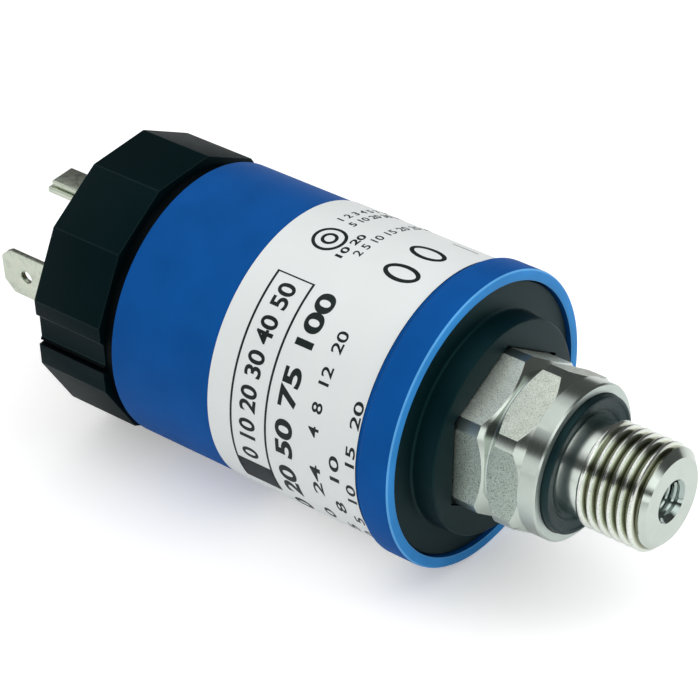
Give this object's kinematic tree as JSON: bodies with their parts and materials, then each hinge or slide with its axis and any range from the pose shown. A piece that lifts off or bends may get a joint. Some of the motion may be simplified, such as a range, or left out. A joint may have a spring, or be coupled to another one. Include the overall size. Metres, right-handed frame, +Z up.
{
  "type": "pressure transmitter",
  "caption": "Cylindrical pressure transmitter with a pipe-thread steel fitting, sealed plastic body, wrap label and a blade-contact connector cap.",
  "frame": {"origin": "on the stud's axis, in the plane of the sealing face where the stud leaves the collar", "axes": "+X along the stud, out of the process port; the connector is at -X; +Z is up as the body lies on one flat of its cap; -Y is the side with the cap's channel"},
  "size_m": [0.0943, 0.037, 0.037],
  "materials": {
    "stainless": "turned stainless steel with blasted flats",
    "seal_rubber": "smooth moulded rubber",
    "black_plastic": "fine matt moulded texture",
    "blue_plastic": "satin moulded",
    "label_white": "printed film, satin",
    "contact_metal": "tin plated brass sheet",
    "brass": "machined",
    "vent_white": "porous",
    "spring_steel": "rolled wire",
    "alumina": "fired ceramic",
    "board_green": "coated laminate",
    "carrier_grey": "moulded",
    "chip_black": "moulded",
    "capacitor_tan": "fired ceramic",
    "lead_metal": "tinned copper"
  },
  "bodies": {
    "root": {"pressure_fitting": "stainless", "port_seal_ring": "seal_rubber", "front_disc": "black_plastic", "housing_sleeve": "blue_plastic", "wrap_label": "label_white", "connector_cap": "black_plastic", "contact_carrier": "black_plastic", "contact_blade_1": "contact_metal", "contact_blade_2": "contact_metal", "contact_blade_3": "contact_metal", "earth_blade": "contact_metal", "plug_screw_insert": "brass", "vent_filter": "vent_white", "cap_seal_ring": "seal_rubber", "cap_snap_ring": "spring_steel", "disc_seal_ring": "seal_rubber", "fitting_seal_ring": "seal_rubber", "cell_housing": "stainless", "sensor_cell": "alumina", "cell_seal_ring": "seal_rubber", "cell_clamp_ring": "brass", "cell_leads": "lead_metal", "circuit_board": "board_green", "board_carrier": "carrier_grey", "amplifier_chip": "chip_black", "voltage_regulator": "chip_black", "filter_capacitors": "capacitor_tan", "surge_diodes": "chip_black", "earth_lead": "lead_metal", "signal_lead": "lead_metal"}
  },
  "joints": []
}
